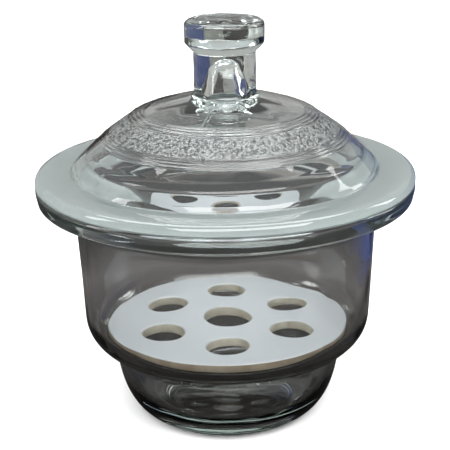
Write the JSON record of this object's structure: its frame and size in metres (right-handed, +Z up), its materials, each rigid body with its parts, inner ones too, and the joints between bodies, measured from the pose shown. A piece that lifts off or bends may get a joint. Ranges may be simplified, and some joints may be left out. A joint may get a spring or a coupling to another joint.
{
  "type": "glass desiccator",
  "caption": "Round glass desiccator: stepped bowl base with a wide ground flange, domed lid with a tall knob, and a perforated porcelain plate on an inner ledge.",
  "frame": {"origin": "centre of the foot ring's resting face, on the vertical axis of the vessel", "axes": "+Z up along the vessel's axis, from the foot to the lid's knob; -Y is the front, where one hole of the plate's ring faces"},
  "size_m": [0.215, 0.215, 0.2299],
  "materials": {
    "base_glass": "clear pressed glass with a faint grey-green tint; the top face of the flange is finely ground",
    "lid_glass": "clear pressed glass with a stippled band on the dome; the underside of the flange is finely ground",
    "porcelain": "white glaze on the top face, unglazed and slightly tan on the rim and in the holes"
  },
  "bodies": {
    "base": {"base_bowl": "base_glass"},
    "lid": {"lid": "lid_glass"},
    "plate": {"porcelain_plate": "porcelain"}
  },
  "joints": [
    {"name": "lid_lift", "type": "slide", "parent": "base", "child": "lid", "axis": [0, 0, 1], "range_m": [0, 0.12]},
    {"name": "plate_lift", "type": "slide", "parent": "base", "child": "plate", "axis": [0, 0, 1], "range_m": [0, 0.095]}
  ]
}
